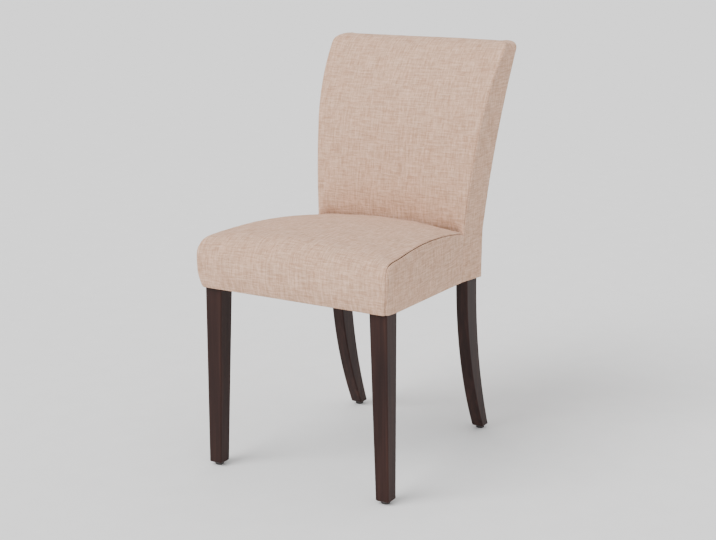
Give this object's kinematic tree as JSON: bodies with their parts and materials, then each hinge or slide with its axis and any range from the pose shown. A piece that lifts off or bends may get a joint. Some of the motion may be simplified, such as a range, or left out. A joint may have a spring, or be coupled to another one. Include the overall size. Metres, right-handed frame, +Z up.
{
  "type": "parsons chair",
  "caption": "Armless dining chair, fully upholstered in a linen-look fabric, with a curved padded back and dark tapered wooden legs.",
  "frame": {"origin": "on the floor, under the middle of the chair's bounding box", "axes": "+Z up; the chair faces -Y, so its back is towards +Y; +X is the sitter's left"},
  "size_m": [0.4692, 0.5784, 0.894],
  "materials": {
    "stained_wood": "satin espresso stain over straight-grained hardwood",
    "frame_wood": "planed, unfinished hardwood",
    "upholstery": "linen-look weave with fine slubs, pinkish beige",
    "foam": "cut upholstery foam",
    "wadding": "fluffy polyester wadding",
    "webbing": "woven jute webbing",
    "burlap": "open jute cloth",
    "dust_cloth": "thin black non-woven cloth",
    "board": "grey-brown board",
    "steel": "plain zinc-plated steel",
    "glide_plastic": "dark brown nylon"
  },
  "bodies": {
    "root": {"front_leg_left": "stained_wood", "front_leg_right": "stained_wood", "rear_post_left": "stained_wood", "rear_post_right": "stained_wood", "front_rail": "frame_wood", "rear_rail": "frame_wood", "side_rail_left": "frame_wood", "side_rail_right": "frame_wood", "corner_block_front_left": "frame_wood", "corner_block_front_right": "frame_wood", "corner_block_rear_left": "frame_wood", "corner_block_rear_right": "frame_wood", "back_top_rail": "frame_wood", "back_lower_rail": "frame_wood", "rail_dowels": "frame_wood", "corner_block_screws": "steel", "leg_bolts": "steel", "leg_bolt_washers": "steel", "leg_bolt_nuts": "steel", "glide_nails": "steel", "seat_webbing_staples": "steel", "back_webbing_staples": "steel", "dust_cover_staples": "steel", "glide_front_left": "glide_plastic", "glide_front_right": "glide_plastic", "glide_rear_left": "glide_plastic", "glide_rear_right": "glide_plastic", "seat_webbing_lengthwise": "webbing", "seat_webbing_crosswise": "webbing", "back_webbing": "webbing", "seat_burlap": "burlap", "seat_foam": "foam", "back_foam": "foam", "seat_wadding": "wadding", "back_wadding": "wadding", "back_rear_lining": "wadding", "back_board": "board", "seat_top_cover": "upholstery", "seat_side_cover_left": "upholstery", "seat_side_cover_right": "upholstery", "back_front_cover": "upholstery", "back_side_cover_left": "upholstery", "back_side_cover_right": "upholstery", "back_rear_cover": "upholstery", "dust_cover": "dust_cloth"}
  },
  "joints": []
}
